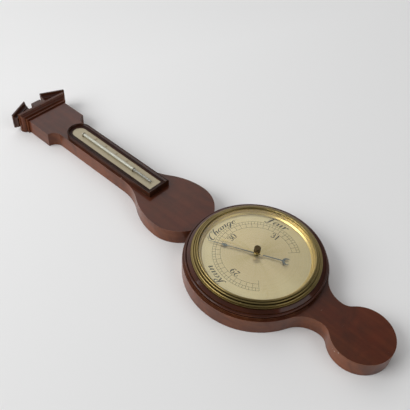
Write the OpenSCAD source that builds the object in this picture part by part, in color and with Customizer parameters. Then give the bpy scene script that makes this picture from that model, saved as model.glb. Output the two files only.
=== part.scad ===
// Banjo barometer: an aneroid dial barometer and a boxed thermometer on a shaped wall board.
// Origin on the dial's axis in the back plane, +Y up the board, +Z out of the dial.

/* [Board] */
// Thickness of the wooden board
board_t = 26.8; // [20:0.1:34]
// Radius of the board round the dial
disc_r = 110; // [106:0.5:120]
// Half width of the waist under the dial
waist_w = 24; // [18:0.5:30]
// Radius of the hollow between waist and dial disc
waist_upper_r = 43.5; // [32:0.5:48]
// Radius of the hollow between waist and lower bulb
waist_lower_r = 19; // [12:0.5:22]
// Radius of the lower bulb
bulb_r = 46; // [42:0.5:54]
// Radius of the pear shape above the dial
pear_r = 57; // [54:0.5:64]
// Height of the pear's widest line above the dial's axis
pear_y = 158; // [150:0.5:162]
// Radius of the long swelling curve of the pear
pear_side_r = 110; // [96:1:124]
// Radius of the hollow that runs into the neck
neck_hollow_r = 80; // [66:1:90]
// Half width of the neck
neck_w = 24.5; // [23:0.1:28]
// Height of the shoulder above the dial's axis
shoulder_y = 447; // [440:0.5:460]
// Half width of the shoulder
shoulder_w = 40.5; // [38:0.1:44]
// Height of the shoulder block up to the cornice
shoulder_h = 56; // [50:0.5:64]
// Height of the board's square end behind the cornice
board_end_h = 16; // [14:0.5:18]

/* [Pediment] */
// Projection of the cornice from the board
cornice_out = 10; // [6:0.1:12]
// Half width across the raking mouldings
rake_w = 58.5; // [54:0.5:64]
// Half width of the gap between the raking mouldings
rake_gap = 18; // [14:0.5:22]
// Slope of the raking mouldings in degrees
rake_angle = 26; // [20:0.5:30]
// Height of a raking moulding's outer edge above the cornice
rake_rise = 8; // [6.5:0.1:10]
// Thickness of a raking moulding, measured square to the slope
rake_h = 8.6; // [7:0.1:10]
// Distance of the raking mouldings from the back plane
rake_back = 8; // [5:0.5:12]
// Half width of the centre block
block_w = 9.5; // [7:0.5:12]
// Height of the centre block
block_h = 17.5; // [14:0.5:22]

/* [Thermometer] */
// Half width of the thermometer frame
frame_w = 22; // [19:0.1:22.5]
// Height of the frame's square end above the dial's axis
frame_y = 204; // [190:0.5:215]
// Length of the frame's straight part
frame_l = 201.6; // [190:0.2:210]
// Height of the frame above the board
frame_h = 10; // [7:0.1:12]
// Half width of the visible scale plate
window_w = 12.8; // [11:0.1:15]
// Depth of the scale plate's face below the frame's top
plate_drop = 4.4; // [2.5:0.1:5]
// Thickness of the scale plate
plate_t = 1.2; // [0.8:0.1:2]
// Radius of the glass tube
tube_r = 2.4; // [1.8:0.1:2.7]
// Distance of the tube's lower end above the frame's square end
tube_foot = 58; // [46:1:66]
// Length of the tube
tube_l = 136; // [110:1:142]
// Radius of the bulb
bulb_glass_r = 1.7; // [1.2:0.1:2.2]
// Length of the bulb
bulb_glass_l = 36; // [24:1:42]

/* [Surround and bezel] */
// Height of the turned surround above the board
surround_h = 11.6; // [10:0.1:14]
// Width of the board's edge left round the surround
surround_set = 1.6; // [1:0.1:3]
// Outer radius of the brass bezel
bezel_r = 97.7; // [95:0.1:99]
// Radius of the bezel's opening
opening_r = 86.5; // [84:0.1:88]
// Height of the bezel above the surround
bezel_h = 9.1; // [8:0.1:11]
// Thickness of the dial's glass
glass_t = 2.0; // [1.6:0.1:2.4]
// Radius of the dial
dial_r = 84.8; // [83:0.1:86]
// Thickness of the dial
dial_t = 1.2; // [1:0.1:1.6]
// Depth of the dial's seat below the surround's top
dial_seat = 2.8; // [2:0.1:4]

/* [Hands] */
// Radius of the setting knob
knob_r = 5; // [4:0.1:6]
// Height of the setting knob
knob_h = 7; // [5:0.1:9]
// Radius of the setting spindle
spindle_r = 2; // [1.5:0.1:2.4]
// Direction of the pointer in degrees from the top of the dial
pointer_angle = 24.5; // [-120:0.5:120]
// Direction of the setting hand in degrees from the top of the dial
set_angle = 18; // [-120:0.5:120]
// Length of the pointer from its axis
pointer_l = 75; // [70:1:78]
// Length of the setting hand from its axis
set_l = 58; // [50:1:62]
// Thickness of the hands
hand_t = 0.5; // [0.4:0.1:0.8]

/* [Movement] */
// Radius of the hole for the movement
well_r = 62; // [60:0.5:66]
// Thickness of the back cover
cover_t = 3; // [2.4:0.1:4]
// Radius of the movement plate
plate_r = 56; // [52:0.5:58]
// Thickness of the movement plate
mplate_t = 1.6; // [1.2:0.1:2]
// Radius of the vacuum capsule
capsule_r = 29; // [26:0.5:31]
// Thickness of the vacuum capsule
capsule_t = 6; // [5:0.1:7]
// Number of corrugations on the capsule
capsule_waves = 5; // [3:1:6]
// Radius of the pointer's arbor
arbor_r = 0.8; // [0.6:0.05:1]
// Radius of the chain drum
drum_r = 1.2; // [1.1:0.05:1.6]
// Length of the rocker's long arm
arm_long = 9; // [7.5:0.1:9.5]
// Length of the rocker's short arm
arm_short = 5; // [4:0.1:6]
// Radius of the rocker shaft
shaft_r = 1.2; // [0.9:0.05:1.5]

/* [Hanging] */
// Half width of the hanging plate
hanger_w = 14; // [11:0.5:18]
// Height of the hanging plate
hanger_h = 44; // [36:1:50]
// Thickness of the hanging plate
hanger_t = 1.6; // [1.2:0.1:2.4]
// Radius of the hole that takes the hook
hook_r = 4.5; // [3.5:0.1:5.5]

/* [Fits] */
// Gap round pieces that drop into place
ease = 0.15; // [0.1:0.05:0.3]
// Radial running clearance of shafts
run = 0.05; // [0.02:0.01:0.1]

/* [Hidden] */
$fn = 96;
eps = 0.01;
screw_r = 1.5;
screw_head_r = 3;
screw_head_t = 1.6;
cover_screw_l = 12;
hanger_screw_l = 14;
slim_head_t = 1.2;

mahogany = [0.33, 0.17, 0.12];
dark_mahogany = [0.24, 0.11, 0.08];
brass = [0.72, 0.56, 0.27];
steel = [0.55, 0.56, 0.58];
blued = [0.16, 0.18, 0.22];
silvered = [0.80, 0.76, 0.62];
glass = [0.80, 0.88, 0.86, 0.35];
bronze = [0.16, 0.12, 0.08];

// Board outline: every hollow touches the round part beside it.
waist_y = -sqrt((disc_r - waist_w) * (disc_r + waist_w + 2 * waist_upper_r));
bulb_y = waist_y - sqrt((bulb_r - waist_w) * (bulb_r + waist_w + 2 * waist_lower_r));
pear_side_x = pear_side_r - pear_r;
hollow_x = neck_w + neck_hollow_r;
hollow_y = pear_y + sqrt(pow(pear_side_r + neck_hollow_r, 2) - pow(hollow_x + pear_side_x, 2));
cove_r = shoulder_w - neck_w;
cornice_y = shoulder_y + shoulder_h;
board_end_y = cornice_y + board_end_h;

// Levels from the back plane outwards
surround_top = board_t + surround_h;
bezel_top = surround_top + bezel_h;
dial_face = surround_top - dial_seat + dial_t;
dial_back = dial_face - dial_t;
glass_top = bezel_top - 2.1;
glass_back = glass_top - glass_t;
surround_r = disc_r - surround_set;
seat_r = dial_r - 6;
glass_r = opening_r + 1.9;
pin_ring = opening_r + (bezel_r - opening_r) * 0.78;
pin_seat = bezel_h * 0.42;
pin_first = 25;

// Hands above the dial
pointer_z = dial_face + 2.2;
set_z = pointer_z + hand_t + 1.8;
bush_r = spindle_r + 2;
knob_z = glass_top + 1.2;

// Thermometer
frame_top = board_t + frame_h;
tube_y = frame_y + tube_foot;
frame_arch_y = frame_y + frame_l;
plate_face = frame_top - plate_drop;
plate_back = plate_face - plate_t;
plate_lap = 2.2;
plate_w = window_w + plate_lap;
rail_w = frame_w - window_w;
rake_out = cornice_out * 0.85;
tube_z = plate_face + tube_r + ease;
tube_bore = 0.6;
clip_r = 0.5;
clip_x = tube_r + clip_r + ease;

// Movement
mplate_z = cover_t + 2;
mplate_top = mplate_z + mplate_t;
pillar_r = 3;
pillar_ring = plate_r - 7;
capsule_z = mplate_top + 1.6;
capsule_top = capsule_z + capsule_t;
bridge_y = 22;
adjust_gap = 12;
bridge_x = 33;
bridge_leg = 4;
beam_z = capsule_top + 2.6;
beam_t = 4;
spring_t = 0.9;
spring_w = 9;
spring_z = beam_z + beam_t;
lever_z = spring_z + spring_t;
lever_t = 1.2;
lever_w = 3;
rocker_y = -36;
rocker_z = capsule_top + 3.6;
post_x = 13;
post_t = 2.4;
cock_z = lever_z + lever_t + 1.4;
cock_t = 1.4;
cock_x = 38;
chain_z = rocker_z + arm_long;
cock_top_z = dial_back - 2.2;
post_r = 1.4;
stem_r = 2.5;
link_r = 0.35;
arm_t = 0.6;
chain_r = 0.2;
pin_r = 0.8;
pin_l = 6;
hair_z = (cock_z + cock_t + cock_top_z) / 2;
hair_w = 1.2;
collet_r = arbor_r + 0.9;
stud_r = 7;
adjust_y = bridge_y + adjust_gap;
cover_r = well_r + 8;
hanger_y = shoulder_y + shoulder_h / 2;

// ---------------------------------------------------------------- board

// Web between two rounds: a triangle from a centre to the hollow's centre, less the hollow.
module web(from, hollow, r) {
    level = [0, hollow[1]];
    for (side = [0, 1])
        mirror([side, 0, 0])
            difference() {
                polygon(from[1] < hollow[1] ? [from, hollow, level] : [from, level, hollow]);
                translate(hollow) circle(r, $fn = 180);
            }
}

module lower_outline() {
    circle(disc_r, $fn = 240);
    web([0, 0], [waist_w + waist_upper_r, waist_y], waist_upper_r);
    web([0, bulb_y], [waist_w + waist_lower_r, waist_y], waist_lower_r);
    translate([-waist_w / 2, bulb_y]) square([waist_w, -bulb_y]);
    translate([0, bulb_y]) circle(bulb_r, $fn = 180);
}

module pear_outline() {
    side_slope = (hollow_y - pear_y) / (hollow_x + pear_side_x);
    translate([0, pear_y]) circle(pear_r, $fn = 180);
    intersection() {
        translate([-pear_side_x, pear_y]) circle(pear_side_r, $fn = 240);
        translate([pear_side_x, pear_y]) circle(pear_side_r, $fn = 240);
        translate([-pear_r, pear_y]) square([2 * pear_r, pear_side_r]);
    }
    web([0, pear_y + pear_side_x * side_slope], [hollow_x, hollow_y], neck_hollow_r);
}

module neck_outline() {
    // starts on the axis, so that disc and pear stay one board at any radius
    translate([-neck_w, 0]) square([2 * neck_w, cornice_y]);
    for (side = [0, 1])
        mirror([side, 0])
            difference() {
                translate([0, shoulder_y - cove_r]) square([shoulder_w, cove_r + eps]);
                translate([shoulder_w, shoulder_y - cove_r]) circle(cove_r);
            }
    translate([-shoulder_w, shoulder_y]) square([2 * shoulder_w, board_end_y - shoulder_y]);
}

module backboard() {
    color(mahogany)
        difference() {
            linear_extrude(board_t) {
                lower_outline();
                pear_outline();
                neck_outline();
            }
            // well for the movement, with a step at the back for the cover
            translate([0, 0, -1]) cylinder(r = well_r, h = board_t + 2, $fn = 180);
            translate([0, 0, -1]) cylinder(r = cover_r + ease, h = cover_t + 1, $fn = 180);
            // recess for the hanging plate, and room behind it for the hook's head
            translate([0, hanger_y, -1]) linear_extrude(hanger_t + 1) hanger_shape(ease);
            translate([0, hanger_y, -1]) cylinder(r = hook_r + 2.5, h = hanger_t + 9);
            for (s = cover_screw_spots()) translate(s) screw(cover_screw_l, 0.05);
            for (s = hanger_screw_spots()) translate(s) screw(hanger_screw_l, 0.05);
        }
}

// ---------------------------------------------------------------- fasteners and holes

// Countersunk wood screw, its head flush in the plane it starts from.
module screw(length, g = 0) {
    cylinder(r1 = screw_head_r + g, r2 = screw_r + g, h = screw_head_t, $fn = 24);
    cylinder(r = screw_r + g, h = length + g, $fn = 24);
}

// Screw with its driver slot, turned by an angle.
module slotted(length, turn) {
    slot = 0.7;
    difference() {
        screw(length);
        rotate([0, 0, turn])
            translate([-2 * screw_head_r, -slot / 2, -slot])
                cube([4 * screw_head_r, slot, 2 * slot]);
    }
}

function ring_spots(n, r, first) = [for (i = [0:n - 1])
    [r * cos(first + i * 360 / n), r * sin(first + i * 360 / n), 0]];

function cover_screw_spots() = ring_spots(3, cover_r - screw_head_r - 1.2, 90);

function hanger_screw_spots() = [for (side = [-1, 1])
    [0, hanger_y + side * (hanger_h / 2 - screw_head_r - 2.6), 0]];

function pillar_spots() = ring_spots(3, pillar_ring, 30);

function bezel_pin_spots() = ring_spots(4, pin_ring, pin_first);

// ---------------------------------------------------------------- pediment

// Section of the cornice: x is the projection from the board, y the height.
module cornice_section(inner) {
    fascia = cornice_out;
    round_r = cornice_out * 0.6;
    foot = board_end_h - round_r - 6.6;
    translate([-inner, 0]) square([inner + cornice_out * 0.3, foot]);
    translate([-inner, foot]) square([inner + cornice_out * 0.14, round_r + 2]);
    translate([0, foot + 1]) difference() {
        translate([cornice_out * 0.28, round_r]) circle(round_r);
        translate([-inner, round_r]) square([inner + fascia * 2, round_r * 2]);
        translate([-inner - round_r, -1]) square([inner + round_r, round_r * 3]);
    }
    translate([-inner, foot + 1 + round_r]) square([inner + fascia * 0.94, 1]);
    translate([-inner, foot + 2 + round_r])
        square([inner + fascia, board_end_h - foot - 2 - round_r]);
}

module cornice() {
    run_w = shoulder_w + cornice_out;
    color(mahogany)
        difference() {
            intersection() {
                translate([run_w, cornice_y, board_t])
                    rotate([0, -90, 0]) linear_extrude(2 * run_w) cornice_section(board_t);
                linear_extrude(board_t + cornice_out)
                    for (side = [0, 1])
                        mirror([side, 0])
                            translate([shoulder_w, cornice_y]) cornice_section(shoulder_w);
            }
            translate([-shoulder_w, cornice_y - 1, -1])
                cube([2 * shoulder_w, board_end_h + 2, board_t + 1]);
        }
}

// Section of a raking moulding: x is the projection, y runs down from its top edge.
module rake_section(inner) {
    fillet = rake_h * 0.3;
    step = rake_h * 0.1;
    hollow = rake_h - fillet - step;
    translate([-inner, -fillet]) square([inner + rake_out, fillet]);
    translate([-inner, -fillet - step]) square([inner + rake_out * 0.9, step]);
    difference() {
        translate([-inner, -rake_h]) square([inner + rake_out * 0.2 + hollow, hollow]);
        translate([rake_out * 0.2 + hollow, -rake_h]) circle(hollow);
    }
}

// Top edge of a raking moulding at a distance x from the middle.
function rake_y(x) = board_end_y + rake_rise + (rake_w - x) * tan(rake_angle);

module raking() {
    color(dark_mahogany)
        intersection() {
            // along the slope
            translate([rake_w, rake_y(rake_w), board_t])
                rotate([0, 0, -rake_angle])
                    translate([rake_w, 0, 0])
                        rotate([0, -90, 0])
                            linear_extrude(3 * rake_w) rake_section(board_t);
            // side return at the outer end, square end at the gap
            translate([rake_gap, 0, rake_back])
                linear_extrude(board_t + rake_out - rake_back)
                    difference() {
                        union() {
                            translate([rake_w - rake_out - rake_gap, rake_y(rake_w)])
                                rake_section(rake_w);
                            translate([0, rake_y(rake_w) - eps])
                                square([rake_w - rake_gap, 2 * rake_w]);
                        }
                        translate([-3 * rake_w, 0]) square([3 * rake_w, 2 * board_end_y]);
                        square([2 * rake_w, board_end_y]);
                    }
        }
}

module raking_left() { mirror([1, 0, 0]) raking(); }

module raking_right() { raking(); }

module pediment_panel() {
    drop = rake_h / cos(rake_angle) + eps;
    outer_x = shoulder_w + cornice_out - 1;
    color(dark_mahogany)
        for (side = [0, 1])
            mirror([side, 0, 0])
                translate([0, 0, rake_back])
                    linear_extrude(board_t - rake_back)
                        intersection() {
                            polygon([
                                [rake_gap, board_end_y - rake_w],
                                [rake_gap, rake_y(rake_gap) - drop],
                                [outer_x, rake_y(outer_x) - drop],
                                [outer_x, board_end_y - rake_w]]);
                            translate([0, board_end_y]) square([rake_w, rake_w]);
                        }
}

module finial_block() {
    block_front = board_t + rake_out / 2;
    color(dark_mahogany)
        translate([-block_w, board_end_y, rake_back])
            cube([2 * block_w, block_h, block_front - rake_back]);
}

// ---------------------------------------------------------------- thermometer

// Rail section: x runs inwards from the frame's outer edge, y is the height above the board.
module rail_section() {
    bead = 1.4;
    brow = frame_h - 0.8;
    shelf = frame_h - plate_drop + 0.7;
    drop = brow - shelf;
    run = rail_w - 2 * bead;
    hollow_r = (run * run + drop * drop) / (2 * drop);
    difference() {
        union() {
            square([2 * bead, frame_h - bead]);
            translate([bead, frame_h - bead]) circle(bead, $fn = 32);
            difference() {
                translate([bead, 0]) square([rail_w - bead, brow]);
                translate([rail_w, shelf + hollow_r]) circle(hollow_r);
            }
        }
        // groove that holds the plate's edge
        translate([rail_w - plate_lap - ease, plate_back - board_t]) square([rail_w, plate_t]);
    }
}

module thermometer_frame() {
    mitre = [[-frame_w, frame_y], [frame_w, frame_y],
        [frame_w - rail_w, frame_y + rail_w], [rail_w - frame_w, frame_y + rail_w]];
    color(dark_mahogany)
        translate([0, 0, board_t]) {
            difference() {
                for (side = [0, 1])
                    mirror([side, 0, 0])
                        translate([-frame_w, frame_arch_y, 0])
                            rotate([90, 0, 0]) linear_extrude(frame_l) rail_section();
                translate([0, 0, -1]) linear_extrude(frame_h + 2)
                    polygon([mitre[0] - [0, 1], mitre[1] - [0, 1], mitre[1], mitre[2],
                        mitre[3], mitre[0]]);
            }
            intersection() {
                translate([-frame_w, frame_y, 0])
                    rotate([90, 0, 90]) linear_extrude(2 * frame_w) rail_section();
                translate([0, 0, -1]) linear_extrude(frame_h + 2) polygon(mitre);
            }
            translate([0, frame_arch_y, 0])
                rotate_extrude(angle = 180, $fn = 120)
                    translate([frame_w, 0]) mirror([1, 0]) rail_section();
        }
}

module thermometer_plate() {
    low_y = frame_y + rail_w - plate_lap;
    color(silvered)
        translate([0, 0, plate_back])
            linear_extrude(plate_t)
                difference() {
                    union() {
                        translate([-plate_w, low_y]) square([2 * plate_w, frame_arch_y - low_y]);
                        translate([0, frame_arch_y]) circle(plate_w);
                    }
                    for (p = clip_pins()) translate(p) circle(clip_r + 0.02, $fn = 16);
                }
}

module thermometer_tube() {
    color(glass)
        translate([0, tube_y, tube_z])
            rotate([-90, 0, 0])
                rotate_extrude($fn = 32)
                    difference() {
                        union() {
                            square([tube_r, tube_l - tube_r]);
                            intersection() {
                                translate([0, tube_l - tube_r]) circle(tube_r);
                                translate([0, tube_l - tube_r]) square(tube_r);
                            }
                            polygon([
                                [0, -3],
                                [bulb_glass_r, -3],
                                [tube_r, 0],
                                [0, 0]]);
                            translate([0, bulb_glass_r - bulb_glass_l - 3])
                                square([bulb_glass_r, bulb_glass_l - bulb_glass_r]);
                            intersection() {
                                translate([0, bulb_glass_r - bulb_glass_l - 3])
                                    circle(bulb_glass_r);
                                translate([0, -bulb_glass_l - 3]) square(bulb_glass_r);
                            }
                        }
                        translate([0, -3 - eps]) square([tube_bore, tube_l]);
                        translate([0, -bulb_glass_l])
                            square([bulb_glass_r - 0.5, bulb_glass_l - 3]);
                    }
}

module thermometer_liquid() {
    color(steel)
        translate([0, tube_y, tube_z])
            rotate([-90, 0, 0]) {
                translate([0, 0, ease - bulb_glass_l])
                    cylinder(r = bulb_glass_r - 0.5 - run, h = bulb_glass_l - 3 - 2 * ease, $fn = 24);
                translate([0, 0, -3 - 2 * ease])
                    cylinder(r = tube_bore - run, h = tube_l * 0.5, $fn = 16);
            }
}

function clip_ys() = [tube_y + 3, tube_y + tube_l - 4];

function clip_pins() = [for (y = clip_ys(), side = [-1, 1]) [side * clip_x, y]];

module tube_clips() {
    color(bronze) {
        for (y = clip_ys())
            translate([0, y, tube_z])
                rotate([90, 0, 0])
                    rotate_extrude(angle = 180, $fn = 32)
                        translate([clip_x, 0]) circle(clip_r, $fn = 16);
        for (p = clip_pins()) {
            translate([p[0], p[1], plate_back]) cylinder(r = clip_r, h = tube_z - plate_back, $fn = 16);
            translate([p[0], p[1], plate_face]) cylinder(r = clip_r * 2, h = clip_r, $fn = 16);
        }
    }
}

// ---------------------------------------------------------------- surround, bezel and dial

// Half section of the turned ring: two fillets and a bead outside, the dial's seat inside.
module surround_section() {
    bead = 1.7;
    bead_x = surround_r - 3.1;
    neck_x = bead_x - bead - 0.4;
    difference() {
        union() {
            square([surround_r, surround_h * 0.17]);
            square([surround_r - 1, surround_h * 0.36]);
            square([bead_x, surround_h * 0.6]);
            translate([bead_x, surround_h * 0.6]) circle(bead, $fn = 32);
            polygon([
                [0, 0],
                [neck_x, 0],
                [neck_x, surround_h * 0.8],
                [bezel_r + 1, surround_h],
                [0, surround_h]]);
        }
        translate([0, -1]) square([seat_r, surround_h + 2]);
        translate([0, surround_h - dial_seat]) square([dial_r + ease, surround_h]);
    }
}

module turned_surround() {
    color(dark_mahogany)
        difference() {
            translate([0, 0, board_t]) rotate_extrude($fn = 240) surround_section();
            bezel_pin_set(0.02);
        }
}

// Half section of the bezel: a stack of fillets and beads that rises to the lip.
module bezel_section() {
    ring_w = bezel_r - opening_r;
    lip = ring_w * 0.13;
    difference() {
        union() {
            translate([opening_r, 0]) {
                square([ring_w, bezel_h * 0.24]);
                square([ring_w * 0.9, bezel_h * 0.31]);
                square([ring_w * 0.56, bezel_h * 0.58]);
                square([ring_w * 0.3, bezel_h * 0.86]);
            }
            translate([opening_r + ring_w * 0.73, bezel_h * 0.38])
                circle(ring_w * 0.12, $fn = 32);
            translate([opening_r + ring_w * 0.44, bezel_h * 0.65])
                circle(ring_w * 0.11, $fn = 32);
            translate([opening_r + lip, bezel_h - lip]) circle(lip, $fn = 32);
            translate([opening_r, bezel_h * 0.7]) square([lip, bezel_h * 0.3 - lip]);
        }
        // rebate for the glass, open downwards
        translate([0, -1]) square([glass_r + ease, glass_top - surround_top + 1]);
    }
}

module bezel() {
    color(brass)
        difference() {
            translate([0, 0, surround_top]) rotate_extrude($fn = 240) bezel_section();
            bezel_pin_set(0.02);
        }
}

// Brass pins down through the bezel's step into the wood, grown by g for their holes.
module bezel_pin_set(g) {
    for (s = bezel_pin_spots())
        translate([s[0], s[1], surround_top - pin_l - g]) {
            cylinder(r = pin_r + g, h = pin_l + pin_seat, $fn = 16);
            translate([0, 0, pin_l + pin_seat]) cylinder(r = pin_r * 1.6 + g, h = slim_head_t + g, $fn = 16);
        }
}

module bezel_pins() {
    color(brass) bezel_pin_set(0);
}

module sight_ring() {
    wall = 0.9;
    low = dial_face;
    high = glass_back - ease;
    foot_r = opening_r - 5;
    ledge = (high - low) * 0.4;
    color(brass)
        rotate_extrude($fn = 240)
            polygon([
                [foot_r, low],
                [foot_r + 2.2, low + ledge],
                [foot_r + 3.4, low + ledge],
                [opening_r - 0.2, high],
                [glass_r - ease, high],
                [glass_r - ease, high - wall],
                [opening_r + 0.4, high - wall],
                [foot_r + 4.2, low + ledge - wall],
                [foot_r + 3, low + ledge - wall],
                [foot_r + wall * 1.8, low]]);
}

module dial_glass() {
    color(glass)
        translate([0, 0, glass_back])
            difference() {
                union() {
                    cylinder(r = glass_r, h = glass_t * 0.5, $fn = 240);
                    translate([0, 0, glass_t * 0.5])
                        cylinder(r1 = glass_r, r2 = glass_r - 1.4, h = glass_t * 0.5 - eps, $fn = 240);
                }
                translate([0, 0, -1]) cylinder(r = bush_r, h = glass_t + 2);
            }
}

module glass_bush() {
    color(brass)
        difference() {
            union() {
                translate([0, 0, glass_back - 0.4]) cylinder(r = bush_r - run, h = glass_t + 0.6);
                translate([0, 0, glass_top]) cylinder(r = bush_r + 1, h = 0.8);
            }
            translate([0, 0, glass_back - 1]) cylinder(r = spindle_r + run, h = glass_t + 4);
        }
}

module dial_plate() {
    color(silvered)
        difference() {
            translate([0, 0, dial_back]) cylinder(r = dial_r, h = dial_t, $fn = 240);
            translate([0, 0, dial_back - 1]) cylinder(r = arbor_r + 1.2, h = dial_t + 2);
        }
}

// ---------------------------------------------------------------- hands

module set_knob() {
    crown = 1;
    knurls = 36;
    color(bronze)
        difference() {
            translate([0, 0, knob_z])
                rotate_extrude()
                    difference() {
                        union() {
                            square([knob_r, knob_h - crown]);
                            translate([knob_r - crown, knob_h - crown]) circle(crown, $fn = 32);
                            square([knob_r - crown, knob_h]);
                        }
                        translate([-2 * crown, -1]) square([2 * crown, knob_h + 2]);
                    }
            translate([0, 0, knob_z - 1]) cylinder(r = spindle_r + 0.02, h = knob_h - 0.5);
            // knurling
            for (i = [0:knurls - 1])
                rotate([0, 0, i * 360 / knurls])
                    translate([knob_r, 0, knob_z + crown])
                        cylinder(r = 0.3, h = knob_h - 2.6 * crown, $fn = 6);
        }
}

module set_spindle() {
    foot = set_z - 0.3;
    color(bronze)
        translate([0, 0, foot]) cylinder(r = spindle_r, h = knob_z + knob_h - 2 - foot);
}

// Lens of two arcs, pointed along y.
module lens(length, width) {
    arc_r = (length * length + width * width) / (4 * width);
    intersection() {
        translate([arc_r - width / 2, 0]) circle(arc_r);
        translate([width / 2 - arc_r, 0]) circle(arc_r);
    }
}

module set_hand() {
    hub_r = spindle_r + 1.8;
    tail = set_l * 0.14;
    color(brass)
        rotate([0, 0, set_angle])
            translate([0, 0, set_z])
                difference() {
                    union() {
                        cylinder(r = hub_r, h = hand_t + 0.8);
                        linear_extrude(hand_t) {
                            polygon([[-1.1, 0], [1.1, 0], [0.5, set_l - 9], [-0.5, set_l - 9]]);
                            translate([0, set_l - 6.5]) lens(13, 3);
                            polygon([[1.1, 0], [-1.1, 0], [-0.7, -tail], [0.7, -tail]]);
                            translate([0, -tail]) circle(2.2, $fn = 32);
                        }
                    }
                    translate([0, 0, -1]) cylinder(r = spindle_r + 0.02, h = hand_t + 3);
                }
}

module pointer_hand() {
    hub_r = 3;
    spade_y = pointer_l * 0.66;
    crescent_y = pointer_l * 0.6;
    crescent_r = 6.2;
    color(blued)
        rotate([0, 0, pointer_angle])
            translate([0, 0, pointer_z])
                difference() {
                    union() {
                        translate([0, 0, -0.8]) cylinder(r = hub_r, h = hand_t + 1.4);
                        linear_extrude(hand_t) {
                            polygon([[-0.9, 0], [0.9, 0], [0.25, pointer_l], [-0.25, pointer_l]]);
                            translate([0, spade_y]) lens(10, 5);
                            translate([-0.8, crescent_r * 0.9 - crescent_y])
                                square([1.6, crescent_y - crescent_r * 0.9]);
                            translate([0, -crescent_y])
                                difference() {
                                    circle(crescent_r);
                                    translate([0, -crescent_r * 0.35]) circle(crescent_r * 0.76);
                                }
                        }
                    }
                    translate([0, 0, -2]) cylinder(r = arbor_r + 0.02, h = hand_t + 4);
                }
}

module pointer_arbor() {
    color(steel) {
        translate([0, 0, cock_z + 0.1])
            cylinder(r = arbor_r, h = pointer_z + hand_t + 0.6 - cock_z - 0.1);
        // drum for the chain, and collet for the hairspring
        translate([0, 0, chain_z - 1]) cylinder(r = drum_r, h = 2);
        translate([0, 0, hair_z - 0.3]) cylinder(r = collet_r, h = hair_w + 0.6);
    }
}

// Spiral strip about the arbor, its outer end at the stud.
module hairspring() {
    turns = 4;
    steps = 28;
    function at(i, off) = let (a = 360 * i / steps,
        r = collet_r + ease + (stud_r - collet_r - 2 * ease) * i / (turns * steps) + off)
        [r * cos(a), r * sin(a)];
    n = turns * steps;
    color(steel)
        translate([0, 0, hair_z])
            linear_extrude(hair_w)
                polygon(concat(
                    [for (i = [0:n]) at(i, 0)],
                    [for (i = [n:-1:0]) at(i, 0.15)]));
}

module chain() {
    color(steel)
        translate([-drum_r - chain_r - 0.02, 0, chain_z])
            rotate([90, 0, 0]) cylinder(r = chain_r, h = -rocker_y - arm_t, $fn = 16);
}

// ---------------------------------------------------------------- movement

module movement_plate() {
    color(brass)
        difference() {
            translate([0, 0, mplate_z]) cylinder(r = plate_r, h = mplate_t, $fn = 180);
            for (s = pillar_spots())
                translate([s[0], s[1], mplate_z - 1]) cylinder(r = screw_r + run, h = mplate_t + 2);
            translate([0, adjust_y, mplate_z - 1]) cylinder(r = screw_r + run, h = mplate_t + 2);
            translate([0, 0, mplate_z - 1]) cylinder(r = stem_r, h = mplate_t + 2);
        }
}

module dial_pillars() {
    color(brass)
        for (s = pillar_spots())
            translate([s[0], s[1], mplate_top])
                difference() {
                    cylinder(r = pillar_r, h = dial_back - mplate_top);
                    translate([0, 0, -1]) cylinder(r = screw_r + run, h = 8);
                }
}

module pillar_screws() {
    color(steel)
        for (s = pillar_spots())
            translate([s[0], s[1], mplate_z - slim_head_t])
                difference() {
                    union() {
                        cylinder(r = screw_head_r - 0.2, h = slim_head_t);
                        cylinder(r = screw_r, h = slim_head_t + mplate_t + 6);
                    }
                    rotate([0, 0, s[0]])
                        translate([-screw_head_r, -0.35, -0.6])
                            cube([2 * screw_head_r, 0.7, slim_head_t]);
                }
}

module vacuum_capsule() {
    wave = 0.45;
    steps = 6;
    rim = 2;
    hub_r = 5;
    n = capsule_waves * steps;
    function r_at(i) = hub_r + (capsule_r - rim - hub_r) * i / n;
    function lift(i) = wave * (1 - cos(360 * i / steps)) / 2;
    mid = capsule_t / 2;
    color(silvered)
        translate([0, 0, capsule_z])
            rotate_extrude($fn = 120)
                polygon(concat(
                    [[0, -1.6 - mplate_t], [stem_r - run, -1.6 - mplate_t], [stem_r - run, -1.6],
                        [hub_r, -1.6], [hub_r, wave]],
                    [for (i = [1:n]) [r_at(i), wave - lift(i)]],
                    [[capsule_r, mid - 0.4], [capsule_r, mid + 0.4]],
                    [for (i = [n:-1:1]) [r_at(i), capsule_t - wave + lift(i)]],
                    [[hub_r, capsule_t], [hub_r, capsule_t + 0.8], [0, capsule_t + 0.8]]));
}

module capsule_post() {
    foot = capsule_top + 0.8 + ease;
    top = lever_z + lever_t + 0.4;
    color(steel) {
        translate([0, 0, foot]) cylinder(r = post_r + 1.2, h = 1.4);
        translate([0, 0, foot]) cylinder(r = post_r, h = top - foot);
    }
}

module spring_bridge() {
    span = bridge_x + bridge_leg;
    color(brass)
        difference() {
            union() {
                for (side = [-1, 1])
                    translate([side * bridge_x, bridge_y, mplate_top])
                        cylinder(r = bridge_leg, h = beam_z - mplate_top);
                for (side = [-1, 1])
                    translate([side * bridge_x, bridge_y, beam_z])
                        cylinder(r = bridge_leg, h = beam_t);
                translate([-bridge_x, bridge_y - bridge_leg, beam_z])
                    cube([2 * bridge_x, 2 * bridge_leg, beam_t]);
                translate([-bridge_leg, bridge_y, beam_z])
                    cube([2 * bridge_leg, adjust_y - bridge_y, beam_t / 2]);
                translate([0, adjust_y, beam_z]) cylinder(r = bridge_leg, h = beam_t / 2);
            }
            for (side = [-1, 1])
                translate([side * spring_w / 2, bridge_y, beam_z - 1])
                    cylinder(r = 1, h = beam_t + 2, $fn = 24);
        }
}

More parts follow.
